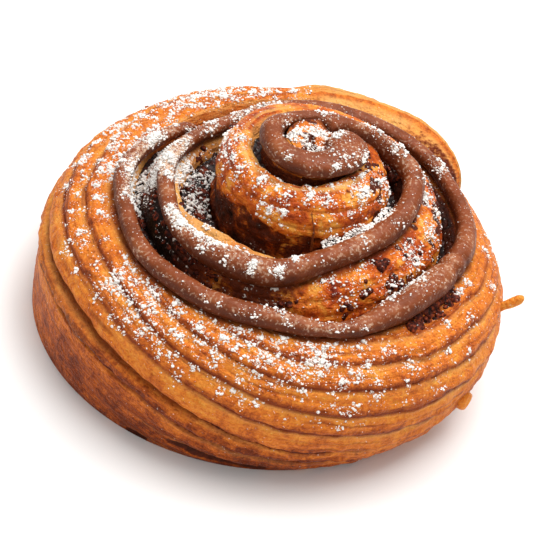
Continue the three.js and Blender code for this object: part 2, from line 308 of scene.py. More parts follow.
def laminatedDough():
    # yeast dough rolled with butter, egg washed and baked: satin golden skin, chestnut where it is low
    # and thin, pale where the layers were torn open, painted highlights on the layers, dull, painted shade
    # in the cracks
    material, add, finish = newMaterial("laminatedDough")
    names = ("layer", "thin", "along", "bakeAndShade", "crackShade", "fineCrackShade", "creviceShade", "paleAndHighlight", "stainAndShade", "caramel",
             "contactShade", "sugar")
    layer, thin, length, bakeAndShade, crackShade, fineCrackShade, creviceShade, paleAndHighlight, stainAndShade, caramel, contactShade, sugar = (
        add("Attribute", out="Fac", attribute_name=name) for name in names)
    place = add("TexCoord", out="Object")
    blotch = add("TexNoise", {"Vector": place, "Scale": 1 / 0.005, "Detail": 5.0})  # browning, 5 mm
    grain = add("TexNoise", {"Vector": place, "Scale": 1 / 0.0013, "Detail": 3.0})  # blisters, 1.3 mm
    fine = add("TexNoise", {"Vector": place, "Scale": 1 / 0.0005, "Detail": 2.0})  # skin, 0.5 mm
    alongScaled = add("Math", {0: length, 1: 1 / 7}, operation="MULTIPLY")  # streaks 7 mm long
    layerScaled = add("Math", {0: layer, 1: 1 / 0.6}, operation="MULTIPLY")  # and 0.6 mm high
    run = add("CombineXYZ", {"X": alongScaled, "Y": layerScaled})
    streak = add("TexNoise", {"Vector": run, "Scale": 1.0, "Detail": 3.0})
    # how brown the skin is, from pale dough to dark crust, with painted light and shade across each layer
    level = bakeAndShade
    for source, share in ((blotch, 0.9), (grain, 0.8), (fine, 0.55), (streak, 0.35)):
        centred = add("Math", {0: source, 1: 0.5}, operation="SUBTRACT")
        level = add("Math", {0: centred, 1: share, 2: level}, operation="MULTIPLY_ADD")
    colour = add("ValToRGB", {"Fac": level}, stops=[
        (0.0, "#f2ae4e"), (0.25, "#e88e30"), (0.5, "#d77222"), (0.75, "#ad4f14"), (1.0, "#702b0b")])
    # the inner turns are stickier, redder and more patchy
    patchy = add("Math", {0: grain, 1: 0.45, 2: blotch}, operation="MULTIPLY_ADD")
    patch = add("MapRange", {"Value": patchy, "From Min": 0.57, "From Max": 0.94})
    sticky = add("ValToRGB", {"Fac": patch}, stops=[
        (0.0, "#f0a544"), (0.3, "#dc741e"), (0.6, "#b8480c"), (1.0, "#741f06")])
    # painted shadow: thin dark lines where one layer ends and the next begins
    lines = []
    for counted, strength, spacing, width in ((layer, crackShade, dough["layerHeight"], 1.0),
                                              (thin, fineCrackShade, dough["thinLayer"], 0.5)):
        off = add("Math", {0: counted, 1: spacing / 2}, operation="PINGPONG")
        line = add("MapRange", {"Value": off, "From Min": 0.1, "From Max": width,
                                "To Min": 1.0, "To Max": 0.0})
        lines.append(add("Math", {0: line, 1: strength}, operation="MULTIPLY"))
    # filling baked onto the dough, and painted shade in the grooves, gaps and cracks: brown where thin, near
    # black where thick, flecked by the grain
    flecks = add("Math", {0: streak, 1: 0.6, 2: grain}, operation="MULTIPLY_ADD")
    soakAndShade = add("Math", {0: flecks, 1: 0.6, 2: stainAndShade}, operation="MULTIPLY_ADD")
    soakAndShadeEdge = add("MapRange", {"Value": soakAndShade, "From Min": 0.74, "From Max": 0.95})
    soakAndShadeDeep = add("MapRange", {"Value": soakAndShade, "From Min": 0.8, "From Max": 1.6})
    soakAndShadeColour = add("ValToRGB", {"Fac": soakAndShadeDeep}, stops=[
        (0.0, "#9a450f"), (0.3, "#64260b"), (1.0, "#180905")])
    # dust of icing sugar, drawn at 0.8 mm, far coarser than the powder, so that it shows
    speck = add("TexNoise", {"Vector": place, "Scale": 1 / 0.0008, "Detail": 3.0})
    reach = add("Math", {0: sugar, 1: 0.3, 2: speck}, operation="MULTIPLY_ADD")
    dusted = add("MapRange", {"Value": reach, "From Min": 0.7, "From Max": 0.8})
    # one over the other, the sugar last
    for share, over in ((caramel, sticky), (paleAndHighlight, "#f3bb6c"), (lines[0], "#7c2f0a"), (lines[1], "#7c2f0a"),
                        (creviceShade, "#8f3f0c"), (contactShade, "#5c2208"), (soakAndShadeEdge, soakAndShadeColour),
                        (dusted, "#f3ebe0")):
        colour = add("Mix", {0: share, 6: colour, 7: over}, data_type="RGBA")
    dull = add("Math", {0: dusted, 1: 0.4, 2: 0.5}, operation="MULTIPLY_ADD")
    relief = add("Math", {0: streak, 1: 0.5, 2: grain}, operation="MULTIPLY_ADD")
    skin = add("Math", {0: fine, 1: 0.45, 2: relief}, operation="MULTIPLY_ADD")
    bump = add("Bump", {"Height": skin, "Strength": 0.9, "Distance": 0.001})
    finish({"Base Color": colour, "Roughness": dull, "Normal": bump, "IOR": 1.45,
            "Specular IOR Level": 0.2})  # porous skin shines less than its IOR says
    return material


def milkChocolate():
    # milk chocolate icing, piped warm and set: satin, a little streaky, mottled by sugar dust on top
    material, add, finish = newMaterial("milkChocolate")
    sugar, topLight = (add("Attribute", out="Fac", attribute_name=name) for name in ("sugar", "topLight"))
    place = add("TexCoord", out="Object")
    cloud = add("TexNoise", {"Vector": place, "Scale": 1 / 0.006, "Detail": 5.0})  # bloom, 6 mm clouds
    # painted light: the upward faces drawn lighter, the flanks darker
    shadedColour = add("ValToRGB", {"Fac": cloud}, stops=[(0.3, "#481c08"), (0.5, "#5d270d"), (0.72, "#6f3215")])
    litColour = add("ValToRGB", {"Fac": cloud}, stops=[(0.3, "#703413"), (0.5, "#85401c"), (0.72, "#9d5930")])
    shade = add("Mix", {0: topLight, 6: shadedColour, 7: litColour}, data_type="RGBA")
    # dust drawn at 0.8 mm, as on the dough, thicker in patches
    speck = add("TexNoise", {"Vector": place, "Scale": 1 / 0.0008, "Detail": 3.0})
    patch = add("Math", {0: cloud, 1: 0.35, 2: speck}, operation="MULTIPLY_ADD")
    reach = add("Math", {0: sugar, 1: 0.3, 2: patch}, operation="MULTIPLY_ADD")
    dusted = add("MapRange", {"Value": reach, "From Min": 0.77, "From Max": 1.06})
    colour = add("Mix", {0: dusted, 6: shade, 7: "#d3b398"}, data_type="RGBA")
    dull = add("Math", {0: dusted, 1: 0.35, 2: 0.45}, operation="MULTIPLY_ADD")
    ripple = add("TexNoise", {"Vector": place, "Scale": 1 / 0.0013, "Detail": 4.0})  # ripples, 1.3 mm
    bump = add("Bump", {"Height": ripple, "Strength": 0.8, "Distance": 0.0006})
    finish({"Base Color": colour, "Roughness": dull, "Normal": bump, "IOR": 1.46,
            "Specular IOR Level": 0.25})  # dulled by dust and tiny pores
    return material


def cocoaPaste():
    # cinnamon and cocoa paste, boiled dark in the oven: near black, moist, crumbly
    material, add, finish = newMaterial("cocoaPaste")
    place = add("TexCoord", out="Object")
    crumb = add("TexNoise", {"Vector": place, "Scale": 1 / 0.0014, "Detail": 4.0})  # crumbs, 1.4 mm
    lighter = add("MapRange", {"Value": crumb, "From Min": 0.45, "From Max": 0.8})
    colour = add("Mix", {0: lighter, 6: "#140906", 7: "#5a2416"}, data_type="RGBA")
    bump = add("Bump", {"Height": crumb, "Strength": 0.7, "Distance": 0.0008})
    finish({"Base Color": colour, "Roughness": 0.42, "Normal": bump, "IOR": 1.47,
            "Specular IOR Level": 0.3})  # crumbly, so the shine is broken up
    return material


def bakedCrumbs():
    # lumps of sugar, cinnamon and cocoa that boiled out of the roll: maroon, moist, darker in the dips
    material, add, finish = newMaterial("bakedCrumbs")
    place = add("TexCoord", out="Object")
    crumb = add("TexNoise", {"Vector": place, "Scale": 1 / 0.0009, "Detail": 4.0})  # grains, 0.9 mm
    colour = add("ValToRGB", {"Fac": crumb}, stops=[(0.36, "#200a06"), (0.52, "#521c10"), (0.7, "#9a4424")])
    bump = add("Bump", {"Height": crumb, "Strength": 0.9, "Distance": 0.0006})
    finish({"Base Color": colour, "Roughness": 0.45, "Normal": bump, "IOR": 1.47,
            "Specular IOR Level": 0.15})  # pitted, so little of the shine is left
    return material


def icingSugar():
    # icing sugar, sifted on dry: white, matt, soft clumps
    material, add, finish = newMaterial("icingSugar")
    place = add("TexCoord", out="Object")
    # powder, drawn at 0.4 mm, coarser than it is, so that it shows
    powder = add("TexNoise", {"Vector": place, "Scale": 1 / 0.0004, "Detail": 2.0})
    colour = add("Mix", {0: powder, 6: "#ece3d8", 7: "#fdfcfa"}, data_type="RGBA")
    bump = add("Bump", {"Height": powder, "Strength": 0.6, "Distance": 0.0003})
    finish({"Base Color": colour, "Roughness": 0.95, "Normal": bump, "IOR": 1.54})
    return material


# Dough: one strip, coiled, with the layers of the dough worked into its outer face

dough = {
    "step": 0.55,  # along the strip
    "points": {"low": 50, "shoulder": 60, "crest": 14, "inside": 18, "base": 2},  # round the section
    "layerHeight": 6.3,
    "layerFirst": 2,
    "layerDepth": 1.6,
    "layerFrom": 2.875,
    "layerFall": [20, 19, 18, 17, 16, 14.2, 10.8, 5.5, 1.3, 0],  # in sixteenths of a turn from there
    "thinLayer": 2.1,
    "thinDepth": 0.6,
    "coilLayer": 3.4,
    "coilDepth": 0.5,
    "wideCrack": 2.1,  # depth of the one at the left
    "lowCrack": 1.1,  # and of the narrow ones at the front
    "soakLedge": 0.9,  # the middle turn is set back below the line the filling reached
    "swell": 61.8,  # height of the middle inside the ring of icing
    "lipUp": 3.2,  # the next turn's inner edge stands up at the front left
    "hollow": 2.2,  # in the rim at the right, beside the icing
    "bumps": 0.3,
    "wrinkles": 0.2,
    "liftOff": 2.8,  # how far the lowest layer draws in where it left the tin
    "drip": {"angle": 358, "radius": 52.3, "height": 24.6, "out": 8.3, "up": 7.2, "bend": 1.4, "tip": 0.14,
             "widths": [2.7, 1.5, 1.15, 1.3, 1.3]},
    "curl": {"angle": 336, "radius": 56.6, "height": 12.6, "halfWidth": 2.7},
    "dripBake": 0.28,  # drip and curl are paler than the skin
}
doughFinish, chocolateFinish = laminatedDough(), milkChocolate()
pasteFinish, crumbFinish, sugarFinish = cocoaPaste(), bakedCrumbs(), icingSugar()
print("materials made")


def onWall(angle, radius, height, side):  # rows of points that stand out from the wall at one angle
    turned = math.radians(angle)
    sideways = np.array([-math.sin(turned), math.cos(turned), 0])
    return onSpiral(-angle / 360, radius, height) + side[..., None] * sideways


def dripPart():  # dough squeezed out at the right and baked hard
    size = dough["drip"]
    tipFrom = 1 - size["tip"]
    tip = tipFrom + size["tip"] * np.sin(np.linspace(0, np.pi / 2, 10)[1:])
    share = np.concatenate([np.linspace(0, tipFrom, 22), tip])[:, None]
    width = along(size["widths"], share * 4) * nose(1 - share, size["tip"], 0.03)
    around = 2 * np.pi * np.arange(16)[None, :] / 16
    radius = size["radius"] + size["out"] * share - width * np.sin(around) * 0.6
    height = size["height"] + size["up"] * share ** size["bend"] + width * np.sin(around) * 0.8
    grid = onWall(size["angle"], radius, height, width * np.cos(around))
    return tube(grid + 0.15 * rough(grid, 2.5, 2, seed=15)[..., None])


def curlPart():  # a small curled flake below it, hollow in the middle
    size = dough["curl"]
    rise = np.linspace(0, np.pi, 20)[:, None]
    around = 2 * np.pi * np.arange(24)[None, :] / 24
    width = size["halfWidth"] * np.sin(rise)
    out = size["halfWidth"] * (1.25 * np.cos(rise) - 1.1 * bell(rise, 0, 0.75))
    height = size["height"] + width * np.sin(around)
    grid = onWall(size["angle"], size["radius"] + out, height, width * np.cos(around))
    return tube(grid + 0.2 * rough(grid, 2.2, 2, seed=16)[..., None])


def doughPiece():
    turn, length = evenStations(spiral["start"], spiral["end"], wallAt, dough["step"])
    count = dough["points"]
    crest, shoulder = crestAt(turn), shoulderAt(turn)
    crestX, wall = crestRadiusAt(turn), wallAt(turn)
    edge = crest - spiral["crestDrop"]
    edgeX = innerAt(turn, edge)
    lipUp = bell(turn, 2.34, 0.1)
    lowHeight = shoulder * np.arange(count["low"])[None, :] / count["low"]
    over = np.pi / 2 * np.arange(count["shoulder"])[None, :] / count["shoulder"]
    across = np.pi / 2 * np.arange(count["crest"])[None, :] / count["crest"]
    insideHeight = edge * (1 - np.linspace(0, 1, count["inside"])[None, :] ** 1.2)
    baseShare = np.arange(1, count["base"] + 1)[None, :] / (count["base"] + 1)
    flat = np.zeros((1, 1))
    radius = np.concatenate([
        outerAt(turn, lowHeight),
        crestX + (wall - crestX) * np.cos(over),
        crestX - (crestX - edgeX) * np.sin(across),
        innerAt(turn, insideHeight),
        mix(innerAt(turn, flat), outerAt(turn, flat), baseShare),
    ], 1)
    height = np.concatenate([
        lowHeight,
        shoulder + (crest - shoulder) * np.sin(over),
        edge + spiral["crestDrop"] * np.cos(across) ** (1 - 0.68 * lipUp)
        + dough["lipUp"] * lipUp * np.sin(across) ** 2,
        insideHeight,
        np.zeros((len(turn), count["base"])),
    ], 1)
    # rounded loose end
    size = nose(spiral["end"] - turn, spiral["tailRound"], spiral["tailTip"])
    radius = mix(radius.mean(1, keepdims=True), radius, size)
    height = mix(height.mean(1, keepdims=True), height, size)
    # the middle swells up inside the ring of icing and closes the first groove
    atStart = (1 - smooth(turn, -0.3, -0.1)) * smooth(height, 56, 59) * smooth(radius, 1.5, 3)
    radius = radius + 2 * atStart
    swollen = (1 - smooth(turn, 0.5, 0.7)) * (1 - smooth(radius, 8.6, 10)) * smooth(height, 50, 52)
    clock = 6.3 * turn
    uneven = noise(radius * np.cos(clock) / 3, radius * np.sin(clock) / 3, seed=26)
    height = mix(height, dough["swell"] + 0.8 * uneven, swollen)
    grid = onSpiral(turn, radius, height)
    # which part of the section each point is on
    cols = np.arange(radius.shape[1])[None, :]
    nOuter = count["low"] + count["shoulder"]
    outer = (cols < nOuter) * 1.0
    onCrest = ((cols >= nOuter) & (cols < nOuter + count["crest"])) * 1.0
    onBase = (cols >= radius.shape[1] - count["base"]) * 1.0
    onInside = 1 - outer - onCrest - onBase
    overShare = np.clip((cols - count["low"]) / count["shoulder"], 0, 1)
    angle = np.degrees(-2 * np.pi * turn) % 360

    # layers on the rim, counted up the outer face and on over the top: level at the left, falling
    # towards the right, each with its lip over the one below
    upFace = np.minimum(height, shoulder) + (crest - shoulder) * overShare * np.pi / 2
    overTop = shoulder + (crest - shoulder) * np.pi / 2 + crest - height
    fall = along(dough["layerFall"], (turn - dough["layerFrom"]) * 16)
    wander = 0.8 * noise(length / 15, height / 9, seed=1) + 0.35 * noise(length / 5, height / 4, seed=2)
    layer = np.where(outer > 0, upFace, overTop) + fall + wander - dough["layerFirst"]
    layer = layer + 1.8 * bell(layer, 24, 3.5) * between(turn, 3.12, 3.25, 3.6, 3.7)  # one lower at the left
    layer = mix(60 + height - crest, layer, smooth(turn, 2.75, 2.9))
    place = layer / dough["layerHeight"]
    up = place - np.floor(place)
    lipOut = (1 - (1 - up) ** 9) * (1 - 0.8 * up) - 0.45
    strength = np.clip(0.8 + 0.7 * noise(length / 20, np.floor(place) * 3.7, seed=3), 0.25, 1.3)
    lineStrength = np.clip(0.9 + 0.5 * noise(length / 22, np.round(place) * 3.7, seed=18), 0.3, 1)
    rim = between(turn, 2.875, 3, spiral["tailAt"], spiral["end"]) * outer
    rim = rim * mix(0.35, 1, smooth(turn, 2.97, 3.08))  # smoother at the right
    topFade = mix(1, 0.4, smooth(overShare, 0.6, 0.95))
    # the lower wall at the left was against the tin: smooth and brown
    tinWall = (1 - smooth(layer, 18.2, 19.2)) * between(turn, 3.2, 3.36, 3.72, 3.76) * rim
    layers = dough["layerDepth"] * strength * lipOut * rim * topFade * (1 - 0.75 * tinWall)
    # thin layers between them
    thin = layer + 0.5 * noise(length / 11, layer / 3, seed=4) + 0.8
    thinPlace = thin / dough["thinLayer"]
    thinUp = thinPlace - np.floor(thinPlace)
    thinStrength = np.clip(0.4 + 1.1 * noise(length / 13, np.floor(thinPlace) * 5.3, seed=5), 0, 1)
    # painted shadow in the fine lines between the thin layers
    thinLineShade = np.clip(0.05 + 0.9 * noise(length / 10, np.round(thinPlace) * 5.3, seed=19), 0, 0.6) * rim
    thinOut = (1 - (1 - thinUp) ** 5) * (1 - 0.8 * thinUp) - 0.35
    thinLayers = dough["thinDepth"] * thinStrength * thinOut * rim * (1 - 0.6 * tinWall)
    # the wide crack at the left, narrow ones at the front, and gaps where the lowest layer left the tin
    atLeft = between(turn, 3.2, 3.34, 3.6, 3.7) * rim
    wideCrack = dough["wideCrack"] * bell(layer, 25.3, 1.5) * atLeft
    upperCrack = mix(1, 0.6, smooth(turn, 3.28, 3.36)) * bell(layer, 25.2, 0.55)
    lowCrack = between(turn, 3.13, 3.2, 3.44, 3.54) * rim * np.maximum(upperCrack, bell(layer, 18.9, 0.5))
    lowCrack = lowCrack * np.clip(0.9 + 0.4 * noise(length / 9, layer / 6, seed=29), 0, 1)
    lifted = angleBell(angle, 244, 2.4) * bell(height, 0.5, 0.9)
    lifted = lifted + angleBell(angle, 266, 10.5) * bell(height, 3.1 - 0.15 * (angle - 264), 1.2)
    lifted = lifted * smooth(turn, 3, 3.05) * outer
    # layers on the inner turns
    coil = between(turn, 0.85, 1.0, 2.75, 2.95) * outer
    depth = crest - height + 0.9 * noise(length / 14, height / 7, seed=6)
    coilPlace = depth / dough["coilLayer"]
    coilWithin = 2 * (coilPlace - np.floor(coilPlace)) - 1
    coilStrength = np.clip(0.6 + 0.7 * noise(length / 12, np.round(coilPlace) * 2.9, seed=7), 0, 1.2)
    coilLayers = dough["coilDepth"] * coilStrength * (0.25 - np.abs(coilWithin) ** 3) * coil
    # filling soaked into the wall of the middle turn
    soakLine = 48.5 + 1.4 * noise(length / 6, 0.0, seed=13) + 1.5 * bell(angle, 225, 40)
    middle = between(turn, 0.95, 1.1, 1.85, 2) * outer
    soakRagged = soakLine + 1.2 * rough(grid, 3, 2, seed=28)
    below = 1 - smooth(height, soakRagged - 0.9, soakRagged + 0.9)
    coilLayers = coilLayers + (0.8 * rough(grid, 2.4, 2, seed=34) - dough["soakLedge"]) * below * middle
    blister = 0.7 * np.clip(rough(grid, 5, 2, seed=8), 0, 1) * coil * smooth(turn, 1.9, 2.1)
    hollow = angleBell(angle, 329, 9) * bell(radius, 45.4, 2) * smooth(turn, 2.9, 3) * outer
    bumps = dough["bumps"] * rough(grid, 8, 2, seed=9) + dough["wrinkles"] * rough(grid, 2.2, 2, seed=10)
    flakes = 0.25 * noise(length / 4, layer / 1.1, seed=24)
    flakes = (flakes + 0.15 * noise(length / 1.8, layer / 0.8, seed=25)) * rim * (1 - 0.7 * tinWall)
    flaky = 0.45 * rough(grid, 3.5, 2, seed=11) * onCrest * (1 - smooth(turn, 2.9, 3.1))
    moved = layers + thinLayers - wideCrack - dough["lowCrack"] * lowCrack
    moved = moved + coilLayers + blister + flakes + flaky - dough["hollow"] * hollow
    moved = moved + bumps * (outer + onCrest + 0.5 * onInside) * (1 - 0.5 * tinWall)
    moved = moved * smooth(height, 0, 2.5) - dough["liftOff"] * lifted * smooth(height, 0, 0.8)
    moved = moved * (1 - onBase) * size ** 2

    # push every point out along the surface
    down = np.roll(grid, -1, 1) - np.roll(grid, 1, 1)
    normal = np.cross(down, np.gradient(grid, axis=0))
    normal /= np.linalg.norm(normal, axis=-1, keepdims=True) + 1e-9
    fromAxis = grid - np.array([*spiral["axis"], 0])
    if (fromAxis * normal)[:, count["low"], :2].sum() < 0:
        normal = -normal
    grid = grid + normal * moved[..., None]
    grid[..., 2] = np.maximum(grid[..., 2], 0)
    part = joined([tube(grid), dripPart(), curlPart()])

    # how brown, cracked, pale and sticky the skin is, with the light and shade that is painted on it
    lowBrown = (1 - smooth(layer, 21, 26.5)) * rim * between(turn, 3.12, 3.22, 3.38, 3.48)
    # painted light and shade: each layer darker at its foot and lighter near its top
    layerShading = 0.3 * (1 - smooth(up, 0, 0.4)) - 0.12 * bell(up, 0.75, 0.2)
    bakeAndShade = 0.5 + 0.32 * tinWall * (1 - smooth(layer, 9, 20)) - 0.2 * tinWall * smooth(turn, 3.37, 3.45)
    bakeAndShade = bakeAndShade + (0.1 * (1 - smooth(height, 2, 26)) + topFade * layerShading) * rim * (1 - tinWall)
    bakeAndShade = bakeAndShade + 0.32 * lowBrown * (1 - 0.8 * tinWall) + 0.08 * coil
    bakeAndShade = bakeAndShade - 0.1 * smooth(turn, 3.7, 3.76) * outer
    # painted shadow in the lines between the layers
    crackShade = lineStrength * rim * topFade * mix(1, 0.7, tinWall)
    # painted shade: darker in the cracks between the layers of the inner turns and in the wide crack at the
    # left
    coilCrack = smooth(np.abs(coilWithin), 0.7, 1) * np.clip(coilStrength, 0, 1) * 0.6 * coil
    creviceShade = np.maximum(coilCrack, 0.8 * smooth(wideCrack, 0.4, 1.6))
    # painted highlight along the top of each layer, just below the lip of the next
    lipHighlight = bell(up, 0.9, 0.12) * rim * np.clip(strength, 0, 1) * (1 - tinWall) * topFade
    tornLip = (bell(layer, 24, 0.7) + 0.5 * bell(layer, 21, 2)) * atLeft * smooth(turn, 3.34, 3.42)
    crestInside = onCrest * smooth(cols, nOuter + 1, nOuter + 5)
    innerEdge = crestInside + onInside * (1 - smooth(crest - height, 4, 7))
    innerEdge = innerEdge + outer * smooth(overShare, 0.82, 0.95) * (1 - smooth(turn, 1.6, 1.8))
    innerEdge = innerEdge * smooth(turn, 0.9, 1.1) * (0.65 + 0.35 * noise(length / 7, height / 3, seed=12))
    flap = 0.5 * smooth(turn, 3.72, 3.76) * outer
    # pale dough where torn, on the flap and at the inner edges, with the painted highlights of the layers
    paleAndHighlight = np.clip(0.35 * lipHighlight + 0.2 * tornLip + flap + mix(0.9, 0.8, lipUp) * innerEdge, 0, 1)
    caramel = between(turn, 0.3, 0.5, 2.7, 2.95) * (0.8 + 0.2 * noise(length / 9, height / 5, seed=14))
    # filling on the walls and in spots, filling and painted shade deep in the grooves, painted shade under
    # the ring, in the rope's shadow, in the gaps under the lifted layer and in the narrow cracks
    # painted shade on the middle turn's wall under the ring of icing
    core = outer * (1 - smooth(turn, 0.85, 0.95)) * smooth(crest - height, 1, 3)
    third = angleBell(angle, 212, 34) * between(turn, 2.2, 2.35, 2.8, 2.95) * outer
    shaded = bell(angle, 262, 22) * between(turn, 2.15, 2.2, 2.4, 2.5) * outer
    shadeFrom = mix(6, 3, angleBell(angle, 5, 50))
    rightEdge = (crestInside + onInside) * angleBell(angle, 18, 38) * smooth(turn, 1.7, 1.8)
    # filling and painted shade, deeper down the inside walls and low on the inner turns
    deep = onInside * smooth(crest - height, shadeFrom, shadeFrom + 4) + (1 - smooth(height, 26, 33)) * coil
    spots = smooth(rough(grid, 2.4, 2, seed=17), 0.3, 0.6) * coil * (angleBell(angle, 350, 38) + 0.2)
    soak = 0.62 + 0.3 * noise(length / 5, height / 2.5, seed=27) + 0.3 * rough(grid, 1.8, 2, seed=37)
    stainAndShade = np.maximum.reduce([
        soak * middle * below,
        1.2 * third * between(overShare, 0, 0.1, 0.82, 0.98),
        0.6 * shaded * (1 - smooth(overShare, 0.7, 0.95)),
        deep,
        0.6 * core,
        0.75 * swollen * smooth(rough(grid, 2.5, 2, seed=38), -0.1, 0.4),
        rightEdge,
        0.65 * spots,
        # painted shade in the gaps under the lifted layer and in the narrow cracks
        0.8 * smooth(lifted, 0.06, 0.25),
        0.95 * smooth(lowCrack, 0.15, 0.8),
    ])
    piece = newPiece("rolledDough", part, doughFinish)
    values = {"layer": layer, "thin": thin, "along": length, "bakeAndShade": bakeAndShade, "crackShade": crackShade,
              "fineCrackShade": thinLineShade, "creviceShade": creviceShade, "paleAndHighlight": paleAndHighlight, "stainAndShade": stainAndShade, "caramel": caramel}
    added = len(part[0]) - height.size  # the ends, the drip and the curl
    for name, value in values.items():
        rest = np.full(added, dough["dripBake"] if name == "bakeAndShade" else 0)
        setAttribute(piece, name, np.concatenate([np.broadcast_to(value, height.shape).ravel(), rest]))
    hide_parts("dough")
    return piece, part


doughObject, doughPart = doughPiece()
print("dough:", len(doughPart[0]), "points")


# Filling: stands in the groove between the turns, lumpy on top

filling = {
    "start": 1 / 3,
    "end": 3 + 5 / 6,
    "foot": 1.2,
    "belowCrest": 4,
    "lowEnd": 18,
    "step": 0.8,
    "overlap": 0.3,  # into the dough on both sides
    "lumps": 1.1,
}


def fillingPiece():
    turn, length = evenStations(filling["start"], filling["end"], wallAt, filling["step"])
    high = crestAt(turn) - filling["belowCrest"] + 0.9 * noise(length / 5, 0.0, seed=20)
    top = mix(high, filling["lowEnd"], smooth(turn, 3.55, 3.68))
    rise = np.linspace(0, 1, 14)[None, :]
    acrossTop = np.linspace(0, 1, 10)[None, 1:-1]
    sideHeight = mix(filling["foot"], top, rise)
    near, nearTop = (outerAt(turn - 1, height) - filling["overlap"] for height in (sideHeight, top))
    far, farTop = (innerAt(turn, height) + filling["overlap"] for height in (sideHeight, top))
    radius = np.concatenate([far, mix(farTop, nearTop, acrossTop), near[:, ::-1]], 1)
    height = np.concatenate([sideHeight, top + 0 * acrossTop, sideHeight[:, ::-1]], 1)
    size = nose(np.minimum(turn - filling["start"], filling["end"] - turn), 0.05, 0.3)
    radius = mix(radius.mean(1, keepdims=True), radius, size)
    height = mix(height.mean(1, keepdims=True), height, size)
    grid = onSpiral(turn, radius, height)
    grid[..., 2] += filling["lumps"] * rough(grid, 3, 3, seed=21) * smooth(height - top, -5, 0)
    part = tube(grid)
    piece = newPiece("cocoaFilling", part, pasteFinish)
    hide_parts("filling")
    return part


fillingPart = fillingPiece()
print("filling:", len(fillingPart[0]), "points")


# Icing: a rope piped as a ring on the middle turn, then along the crest of the outer turns

rope = {
    "start": -0.125,
    "end": 2.6,
    "lift": 2.4,
    "sag": 0.35,  # where it lies outside the crest
    "ringRadius": [7.8, 8.5, 9.1, 9.8, 10.3, 10, 9.3, 9.7, 10.4],  # in eighths of a turn from the start
    "ringHalfWidth": [2.2, 5.3, 4.3, 3.6, 2.9, 2.7, 1.9, 1.9, 4],
    "ringHalfHeight": [2.2, 2.75, 2.75, 2.75, 2.75, 2.6, 1.95, 1.9, 2.3],
    "ringFoot": 59.45,
    # in sixteenths of a turn, from turn 1
    "radius": [26.7, 26.4, 25.8, 27.3, 32.2, 33.8, 34.8, 33.3, 33, 31.4, 31.2, 34.4, 38.6, 41, 42.3, 42.2,
               42.7, 40.6, 41.2, 43.2, 42.3, 43.4, 43.7, 43.1, 42.9, 39.8, 36],
    "halfWidth": [2.75, 2.95, 2.75, 2.95, 3.5, 3.4, 2.3, 2.15, 2.1, 2, 2, 2.1, 2.3, 2.3, 2.2, 2.15,
                  2.8, 3.4, 3.35, 1.95, 2.6, 2.6, 2.25, 2.2, 2.3, 1.9, 1.7],
    "creases": [(2.028, 0.16), (2.047, 0.22), (1.29, 0.07), (2.2, 0.1)],  # place and depth
    "sunk": 0.7,  # into the dough
    "step": 0.45,
    "sides": 34,
}


def ropePlace(turn):  # radius and height of its middle, half width and half height
    away = smooth(turn, 0.84, 0.98)
    onRing, onCoil = (turn - rope["start"]) * 8, (turn - 1) * 16
    crest = crestRadiusAt(turn + 1)
    carried = np.where(turn < 1, np.minimum(crest, rope["radius"][0]), along(rope["radius"], onCoil))
    sag = rope["sag"] * np.maximum(carried - crest, 0)
    width = along(rope["halfWidth"], onCoil)
    ringHalf = along(rope["ringHalfHeight"], onRing)
    return (mix(along(rope["ringRadius"], onRing), carried, away),
            mix(rope["ringFoot"] + ringHalf, crestAt(turn + 1) + rope["lift"] - sag, away),
            mix(along(rope["ringHalfWidth"], onRing), width, away),
            mix(ringHalf, width, away))


def ropePiece():
    turn, length = evenStations(rope["start"], rope["end"], lambda t: ropePlace(t)[0], rope["step"])
    radius, height, halfWidth, halfHeight = ropePlace(turn)
    radius = radius + 0.25 * noise(length / 14, 0.0, seed=30) * smooth(length, 3, 12)
    size = nose(np.minimum(turn - rope["start"], rope["end"] - turn) * 2 * np.pi * radius, 3, 0.1)
    for at, deep in rope["creases"]:
        size = size * (1 - deep * bell(turn, at, 0.004))
    halfWidth = halfWidth * size * (1 + 0.05 * noise(length / 9, 0.0, seed=31))
    halfHeight = halfHeight * size * (1 + 0.05 * noise(length / 12, 0.0, seed=32))
    angle = 2 * np.pi * np.arange(rope["sides"])[None, :] / rope["sides"]
    skin = onSpiral(turn, radius + halfWidth * np.cos(angle), height + halfHeight * np.sin(angle))
    swell = 1 + 0.05 * rough(skin, 5, 3, seed=33) + 0.02 * rough(skin, 1.6, 2, seed=36)
    x = radius + halfWidth * np.cos(angle) * swell
    z = np.maximum(height + halfHeight * np.sin(angle) * swell, doughTop(turn, x) - rope["sunk"])
    part = tube(onSpiral(turn, x, z))
    piece = newPiece("chocolateRope", part, chocolateFinish)
    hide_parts("chocolate_icing")
    return piece, part


def paintContactShade():  # painted shade: the dough is drawn darker where the icing touches it
    tree = BVHTree.FromPolygons(ropePart[0].tolist(), ropePart[1])
    reach = 1.8
    near = [tree.find_nearest(Vector(point), reach)[3] for point in doughPart[0]]
    distance = np.array([reach if far is None else far for far in near])
    setAttribute(doughObject, "contactShade", 0.85 * (1 - smooth(distance, 0.3, reach)))


ropeObject, ropePart = ropePiece()
paintContactShade()
print("rope:", len(ropePart[0]), "points")


# Things that lie on top are dropped straight down

def dropper(parts):
    points, faces = joined(parts)
    tree = BVHTree.FromPolygons(points.tolist(), faces)

    def drop(angle, radius):
        turned = math.radians(angle)
        x = spiral["axis"][0] + radius * math.cos(turned)
        y = spiral["axis"][1] + radius * math.sin(turned)
        return tree.ray_cast(Vector((x, y, 90)), Vector((0, 0, -1)))[:2]

    return drop


def ball(subdivisions):  # points and faces of a round ball of radius 1
    shape = bmesh.new()
    bmesh.ops.create_icosphere(shape, subdivisions=subdivisions, radius=1)
    points = np.array([vert.co for vert in shape.verts])
    faces = [tuple(vert.index for vert in face.verts) for face in shape.faces]
    shape.free()
    return points, faces


